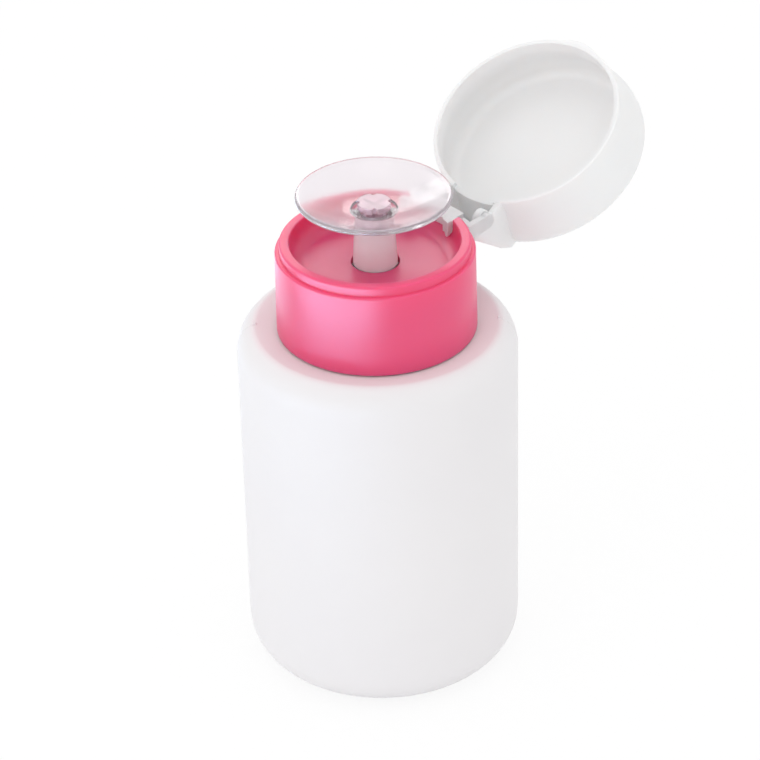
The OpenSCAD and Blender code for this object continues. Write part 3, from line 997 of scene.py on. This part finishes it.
@dataclass
class FlipLid:
    """The frosted lid with its hinge box, modelled closed and swung open."""

    mouth_radius: float = 21.5
    head_radius: float = 23.3
    mouth_z: float = 100.25
    height: float = 15.0
    wall: float = 1.05
    straight: float = 2.4
    flare_end: float = 1.5
    mouth_edge: float = 0.25
    edge_round: float = 3.2
    lip_reach: float = 0.7
    lip_thick: float = 1.3
    lip_edge: float = 0.3
    ledge_z: float = 100.05
    saddle_half: float = 5.7
    saddle_z: float = 101.41
    pivot: Point2 = (25.8, 98.65)
    open_angle: float = 148.0
    box_half: float = 7.6
    box_wall: float = 1.4
    box_height: float = 13.1
    box_top: float = 1.9
    box_slope: float = 2.7
    box_tuck: float = 0.1
    box_edge: float = 0.25
    knuckle_radius: float = 2.1
    pin_radius: float = 1.0
    pin_length: float = 0.9
    stop_open: Point2 = (-3.02, -3.8)

    def cup(self, inset: float, low: float) -> list[Point2]:
        """Returns an outline of the cup.

        Args:
            inset: How far it lies inside the outer one.
            low: Height of its lowest point.

        Returns:
            The outline, from the axis at the mouth to the axis at the head.
        """
        mouth, head = self.mouth_radius - inset, self.head_radius - inset
        top = self.mouth_z + self.height
        low_z, high_z = self.mouth_z + self.straight, top - self.edge_round - self.flare_end
        steps = 16
        flare = [
            (mouth + (head - mouth) * (3 * t * t - 2 * t**3), low_z + (high_z - low_z) * t)
            for t in (i / steps for i in range(steps + 1))
        ]
        centre = (self.head_radius - self.edge_round, top - self.edge_round)
        bend = arc(centre, self.edge_round - inset, 0, 90, 12)
        foot = [(0.0, low), (mouth, low)]
        if inset == 0:
            foot[1:] = [(mouth - self.mouth_edge, low), (mouth, low + self.mouth_edge)]
        return [*foot, *flare, *bend, (0.0, top - inset)]

    def stop(self) -> Point2:
        """Returns the point of the hinge box that meets the bracket when the lid is open."""
        a = math.radians(self.open_angle)
        out, up = self.stop_open
        return (
            self.pivot[0] + out * math.cos(a) - up * math.sin(a),
            self.pivot[1] + out * math.sin(a) + up * math.cos(a),
        )

    def box_side(self) -> list[Point2]:
        """Returns the hinge box's side, with the knuckle round the pin."""
        y, z = self.pivot
        wall_low = math.sqrt(self.mouth_radius**2 - self.box_half**2) - self.wall / 3
        wall_high = math.sqrt(self.head_radius**2 - self.box_half**2) - self.wall / 3
        low, top = self.ledge_z + 0.4, self.ledge_z + self.box_height
        stop = self.stop()
        knuckle = arc((y, z), self.knuckle_radius, -55, -200, 16)
        return [
            (wall_low, low),
            (wall_low, self.mouth_z + self.straight + 0.6),
            (wall_high, top - 1),
            (wall_high, top),
            (wall_high + self.box_top, top),
            (y - self.box_tuck, top - self.box_slope),
            stop,
            (stop[0] - 0.6, stop[1] - 0.5),
            *knuckle,
            (y - self.knuckle_radius - 0.6, low),
        ]

    def box_hollow(self) -> list[Point2]:
        """Returns the hollow between the hinge box's arms."""
        stop, top = self.stop(), self.ledge_z + self.box_height
        wall_high = math.sqrt(self.head_radius**2 - self.box_half**2)
        knee = (self.pivot[0] - self.box_tuck, top - self.box_slope)
        return [
            (15.0, 90.0),
            (15.0, top - self.box_wall),
            (wall_high + self.box_top - self.box_wall * 0.75, top - self.box_wall),
            (knee[0] - self.box_wall * 0.85, knee[1] - self.box_wall * 0.55),
            (stop[0] - self.box_wall * 1.25, stop[1] + 0.4),
            (stop[0] - self.box_wall * 1.1, 90.0),
        ]

    def across(self, outline: Iterable[Point2], x: float) -> list[Point3]:
        """Returns an outline drawn across the hinge pin at that x."""
        return [(x, out, up) for out, up in outline]

    def build(self) -> None:
        """Builds the lid closed, swings it open and dresses it."""
        lid = turn("lid_shell", self.cup(0.0, self.mouth_z), steps=180, ring=False)
        half, inner = self.box_half, self.box_half - self.box_wall
        side = self.across(self.box_side(), -half)
        hinge = plate("hinge_box", side, (2 * half, 0, 0), self.box_edge)
        hollow = plate("hollow", self.across(self.box_hollow(), -inner), (2 * inner, 0, 0))
        combine(hinge, hollow, "DIFFERENCE")
        combine(lid, hinge, "UNION")
        length = self.box_wall / 2 + self.pin_length
        middle = self.box_half - self.box_wall / 2 + length / 2
        for side in (-1, 1):
            pin = cylinder(self.pin_radius, length, (side * middle, *self.pivot), 48, across=True)
            combine(lid, pin, "UNION")
        lip = self.mouth_radius / 2
        front = lip - self.mouth_radius - self.lip_reach
        tongue = cylinder(lip, self.lip_thick, (0, front, self.mouth_z + self.lip_thick / 2), 120)
        bevel_edges(tongue, self.lip_edge, 30)
        combine(lid, tongue, "UNION")
        cavity = turn("cavity", self.cup(self.wall, self.mouth_z - 1), steps=180, ring=False)
        combine(lid, cavity, "DIFFERENCE")
        low, far = self.mouth_z - 1, self.mouth_radius + 0.5
        opening = slab("opening", self.saddle_half, far / 2, far, low, self.saddle_z - low)
        combine(lid, opening, "DIFFERENCE")
        finish_shape(lid)
        bpy.ops.object.mode_set(mode="EDIT")
        bpy.ops.mesh.select_all(action="SELECT")
        bpy.ops.transform.rotate(
            value=math.radians(self.open_angle),
            orient_axis="X",
            center_override=(0, self.pivot[0] * MM, self.pivot[1] * MM),
        )
        bpy.ops.object.mode_set(mode="OBJECT")
        dress(lid, Finish.FROSTED, Slot.FROSTED, "flip_lid", "lid")


@dataclass
class Saucer:
    """The clear saucer with its tube, and the notched plug over its outlet."""

    radius: float = 16.5
    rim_z: float = 113.2
    thick: float = 1.2
    depth: float = 3.4
    pit_radius: float = 4.9
    pit_depth: float = 0.8
    bore: float = 3.0
    socket: float = 3.43
    tube_top: float = 4.25
    tube_foot: float = 4.75
    tube_z: float = 96.6
    socket_z: float = 104.5
    plug_radius: float = 3.6
    plug_thick: float = 1.3
    plug_rise: float = 1.4
    plug_edge: float = 0.18
    notch_radius: float = 0.62
    rib_radius: float = 2.97
    rib_thick: float = 0.9
    rib_length: float = 3.0
    rib_bury: float = 0.3
    rib_edge: float = 0.12

    def dish(self, first: float, last: float, lift: float, steps: int = 26) -> list[Point2]:
        """Returns points of the dish between two radii.

        Args:
            first: Radius of the first point.
            last: Radius of the last point.
            lift: How far the curve is lifted.
            steps: Number of chords.

        Returns:
            The points, from the first radius to the last.
        """
        low = self.rim_z - self.depth + lift
        parts = (i / steps for i in range(steps + 1))
        return [(first + (last - first) * t, low + self.depth * t**1.45) for t in parts]

    def outline(self) -> list[Point2]:
        """Returns the saucer's closed outline."""
        edge = self.thick / 2
        pit_z = self.rim_z - self.depth - self.pit_depth
        under = pit_z - self.thick
        return [
            (self.bore, pit_z),
            (self.pit_radius - 0.4, pit_z),
            (self.pit_radius - 0.15, pit_z + 0.15),
            *self.dish(self.pit_radius, self.radius - edge, 0.0),
            *arc((self.radius - edge, self.rim_z - edge), edge, 70, -80, 10),
            *reversed(self.dish(self.pit_radius + 0.3, self.radius - edge, -self.thick)),
            (self.tube_top + 0.35, under),
            (self.tube_top + 0.1, under - 0.3),
            (self.tube_top, under - 0.8),
            (self.tube_foot, self.tube_z + 0.2),
            (self.tube_foot - 0.2, self.tube_z),
            (self.socket, self.tube_z),
            (self.socket, self.socket_z),
            (self.bore, self.socket_z),
        ]

    def cap_outline(self, z: float) -> list[Point3]:
        """Returns the plug's round outline with its four notches.

        Args:
            z: Height of the outline.

        Returns:
            The points of the outline.
        """
        points: list[Point3] = []
        half = 2 * math.degrees(math.asin(self.notch_radius / (2 * self.plug_radius)))
        for side in range(4):
            middle = 45 + 90 * side
            cx = self.plug_radius * math.cos(math.radians(middle))
            cy = self.plug_radius * math.sin(math.radians(middle))
            notch = arc((cx, cy), self.notch_radius, middle - 97, middle - 263, 10)
            rim = arc((0, 0), self.plug_radius, middle + half + 1, middle + 90 - half - 1, 14)
            points += [(x, y, z) for x, y in notch + rim]
        return points

    def build_plug(self) -> None:
        """Builds the plug: a notched cap on a cross of ribs."""
        low = self.rim_z - self.depth + self.plug_rise - self.plug_thick
        plug = plate("outlet_plug_cap", self.cap_outline(low), (0, 0, self.plug_thick), self.plug_edge)
        h, r = self.rib_thick / 2, self.rib_radius
        quarter, cross = [(r, h), (h, h), (h, r)], []
        for _ in range(4):
            cross += [(x, y, low - self.rib_length) for x, y in quarter]
            quarter = [(-y, x) for x, y in quarter]
        ribs = plate("ribs", cross, (0, 0, self.rib_length + self.rib_bury), self.rib_edge)
        combine(plug, ribs, "UNION")
        finish_shape(plug)
        dress(plug, Finish.CLEAR_PLUG, Slot.CLEAR_PLUG, "plunger", "outlet_plug")

    def build(self) -> None:
        """Builds the saucer and its plug."""
        saucer = turn("saucer_shell", self.outline(), steps=160)
        dress(saucer, Finish.CLEAR, Slot.CLEAR, "plunger", "press_disc")
        # The tube gets the paler copy of the clear plastic: painted light that makes it render white.
        saucer.data.materials.append(Finish.CLOUDY.material())
        top = self.rim_z - self.depth - self.pit_depth - self.thick
        pick(saucer)
        bpy.ops.object.mode_set(mode="EDIT")
        select_where(saucer, lambda co: co.z < top and math.hypot(co.x, co.y) < self.tube_foot + 0.1)
        bpy.ops.mesh.select_mode(type="FACE")
        saucer.active_material_index = 1
        bpy.ops.object.material_slot_assign()
        bpy.ops.object.mode_set(mode="OBJECT")
        self.build_plug()


@dataclass
class PumpInside:
    """The pump under the collar, and the stem that the saucer stands on."""

    nodes: dict[str, Finish] = field(
        default_factory=lambda: {
            "hinge_bracket": Finish.NATURAL,
            "stem": Finish.WHITE,
            "guide_bush": Finish.WHITE,
            "ball_retainer": Finish.WHITE,
            "piston": Finish.SOFT,
            "pump_cylinder": Finish.NATURAL,
            "dip_tube": Finish.NATURAL,
            "neck_gasket": Finish.FOAM,
            "inlet_ball": Finish.BALL_STEEL,
            "outlet_ball": Finish.BALL_STEEL,
            "spring": Finish.STEEL,
        }
    )
    coil_radius: float = 4.5
    wire_radius: float = 0.4
    turns: int = 7
    spring_low: float = 61.7
    spring_high: float = 77.3
    stroke: float = 8.0

    def coil(self, steps: int = 40) -> list[Point3]:
        """Returns the wire's line, with half a turn laid flat at each end.

        Args:
            steps: Number of chords in a turn.

        Returns:
            Points up the coil.
        """
        rise = self.spring_high - self.spring_low - 2 * self.wire_radius
        points: list[Point3] = []
        for i in range(self.turns * steps + 1):
            share = min(1.0, max(0.0, (i / steps - 0.5) / (self.turns - 1)))
            a = 2 * math.pi * i / steps
            z = self.spring_low + self.wire_radius + rise * share
            points.append((self.coil_radius * math.cos(a), self.coil_radius * math.sin(a), z))
        return points

    def build_spring(self) -> None:
        """Builds the spring as a smooth wire."""
        spring = draw_line("return_spring", self.coil())
        bpy.ops.object.mode_set(mode="OBJECT")
        pick(spring)
        bpy.ops.object.convert(target="CURVE")
        wire = spring.data
        wire.bevel_depth, wire.bevel_resolution, wire.use_fill_caps = self.wire_radius * MM, 3, True
        bpy.ops.object.convert(target="MESH")
        finish_shape(spring)
        dress(spring, Finish.STEEL, Slot.STEEL, "pump", "spring")
        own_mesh(spring)

    def build(self) -> None:
        """Dresses the CAD nodes that stay as they are, and builds the spring."""
        for name, finish in self.nodes.items():
            dress_node(name, finish)
        self.build_spring()


# Studio


@dataclass(frozen=True)
class Lamp:
    """A soft rectangular lamp, placed in the camera's frame.

    Attributes:
        name: The lamp's name.
        where: Its place.
        size: Its width and height.
        level: Brightness of its face, where 1 is white.
        aim: The point that it faces.
        color: Its sRGB colour.
        sheen: It only shows as a reflection.
        through: It shows through clear pieces.
    """

    name: str
    where: Point3
    size: Point2
    level: float
    aim: Point3
    color: str = "#FFFFFF"
    sheen: bool = False
    through: bool = True


@dataclass
class Studio:
    """A pale floor, soft lamps and the camera at the photograph's angle.

    Places are given in the camera's own frame, x to its right and y away from it, and turned to
    the object's frame by the camera's azimuth.
    """

    azimuth: float = 43.3
    elevation: float = 31.98
    roll: float = -1.47
    distance: float = 713.2
    aim_x: float = 0.31
    aim_z: float = 67.33
    focal_px: float = 3311.3
    image_px: float = 760.0
    sensor: float = 36.0
    floor_size: float = 6000.0
    floor_color: str = "#FCFCFC"
    floor_glow: float = 0.86
    world_level: float = 1.0
    lamps: tuple[Lamp, ...] = (
        Lamp("left_softbox", (-450, -560, 330), (500, 500), 0.7, (0, 0, 90)),
        Lamp("top_softbox", (0, 0, 800), (500, 500), 0.4, (0, 0, 70)),
        Lamp(
            "left_card", (-117, -117, 1), (400, 160), 12.5, (0, 0, 300), "#B2D6FF", sheen=True, through=False
        ),
        Lamp("far_card", (-120, 110, 1), (170, 120), 2.2, (0, 0, 300), "#C4E0FF", sheen=True, through=False),
        Lamp("back_card", (-150, 690, 530), (600, 300), 2.8, (0, 0, 90), sheen=True),
        Lamp("front_strip", (-633, -661, 221), (350, 120), 12.0, (-12, -27, 79), sheen=True),
    )

    def place(self, x: float, y: float, z: float) -> Vector:
        """Turns a place from the camera's frame to the object's, in metres."""
        return Matrix.Rotation(math.radians(self.azimuth), 3, "Z") @ Vector((x, y, z)) * MM

    def add_camera(self) -> None:
        """Adds the camera of the photograph."""
        tilt = math.radians(self.elevation)
        back, up = self.distance * math.cos(tilt), self.distance * math.sin(tilt)
        where = self.place(self.aim_x, -back, self.aim_z + up)
        deselect()
        bpy.ops.object.camera_add(location=where)
        camera = bpy.context.object
        camera.name = "photo_camera"
        turned = Matrix.Rotation(math.radians(self.azimuth), 4, "Z")
        tilted = Matrix.Rotation(math.pi / 2 - tilt, 4, "X")
        rolled = Matrix.Rotation(math.radians(self.roll), 4, "Z")
        camera.matrix_world = Matrix.Translation(where) @ turned @ tilted @ rolled
        camera.data.sensor_width = self.sensor
        camera.data.lens = self.focal_px * self.sensor / self.image_px
        camera.data.clip_start, camera.data.clip_end = 0.01, 50
        bpy.context.scene.camera = camera

    def add_lamp(self, lamp: Lamp) -> None:
        """Adds a lamp."""
        deselect()
        start = self.place(*lamp.where)
        bpy.ops.object.light_add(type="AREA", location=start)
        made = bpy.context.object
        made.name = lamp.name
        made.rotation_euler = (self.place(*lamp.aim) - start).to_track_quat("-Z", "Y").to_euler()
        made.data.shape = "RECTANGLE"
        made.data.size, made.data.size_y = (length * MM for length in lamp.size)
        made.data.color = linear(lamp.color)[:3]
        made.data.energy = lamp.level * math.pi * made.data.size * made.data.size_y
        made.visible_camera = False
        made.visible_transmission = lamp.through
        if lamp.sheen:
            made.visible_diffuse = made.visible_volume_scatter = False

    def seen_directly(self, tree: bpy.types.NodeTree) -> bpy.types.NodeSocket:
        """Returns 1 for rays from the camera, from glossy surfaces and through clear ones."""
        path = add_node(tree, "ShaderNodeLightPath")
        some = add_node(
            tree,
            "ShaderNodeMath",
            {"operation": "MAXIMUM"},
            {0: path.outputs["Is Camera Ray"], 1: path.outputs["Is Glossy Ray"]},
        )
        return add_node(
            tree,
            "ShaderNodeMath",
            {"operation": "MAXIMUM"},
            {0: some.outputs[0], 1: path.outputs["Is Transmission Ray"]},
        ).outputs[0]

    def add_floor(self) -> None:
        """Adds the floor, white to the eye but for the object's own shadow."""
        deselect()
        bpy.ops.mesh.primitive_plane_add(size=self.floor_size * MM, location=(0, 0, 0))
        floor = bpy.context.object
        floor.name = "studio_floor"
        bpy.ops.object.mode_set(mode="EDIT")
        bpy.ops.mesh.subdivide(number_cuts=3)
        bpy.ops.object.mode_set(mode="OBJECT")
        paper = blank_material("matt_white_paper")
        tree = paper.node_tree
        matt = add_node(tree, "ShaderNodeBsdfDiffuse", inputs={"Color": linear(self.floor_color)})
        white = add_node(tree, "ShaderNodeEmission", inputs={"Color": (1, 1, 1, 1), "Strength": 1.0})
        share = add_node(
            tree,
            "ShaderNodeMath",
            {"operation": "MULTIPLY"},
            {0: self.seen_directly(tree), 1: self.floor_glow},
        )
        both = add_node(
            tree,
            "ShaderNodeMixShader",
            inputs={0: share.outputs[0], 1: matt.outputs[0], 2: white.outputs[0]},
        )
        add_node(tree, "ShaderNodeOutputMaterial", inputs={0: both.outputs[0]})
        floor.data.materials.append(paper)

    def add_world(self) -> None:
        """Adds an even world, which is plain white to the eye, whatever its level as a lamp."""
        world = bpy.data.worlds.new("white_studio")
        world.use_nodes = True
        tree = world.node_tree
        tree.nodes.clear()
        strength = add_node(
            tree,
            "ShaderNodeMapRange",
            inputs={"Value": self.seen_directly(tree), "To Min": self.world_level, "To Max": 1.0},
        )
        sky = add_node(
            tree,
            "ShaderNodeBackground",
            inputs={"Color": (1, 1, 1, 1), "Strength": strength.outputs[0]},
        )
        add_node(tree, "ShaderNodeOutputWorld", inputs={0: sky.outputs[0]})
        bpy.context.scene.world = world

    def build(self) -> None:
        """Sets up the camera, the floor, the world and the lamps."""
        self.add_camera()
        self.add_floor()
        self.add_world()
        for lamp in self.lamps:
            self.add_lamp(lamp)
        bpy.context.scene.view_settings.view_transform = "Standard"


def main() -> None:
    """Builds the studio and the object."""
    logging.basicConfig(level=logging.INFO, format="%(name)s: %(message)s")
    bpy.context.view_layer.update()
    Studio().build()
    for part in (BlownBottle(), ScrewCollar(), FlipLid(), Saucer(), PumpInside()):
        part.build()


if __name__ == "__main__":
    main()
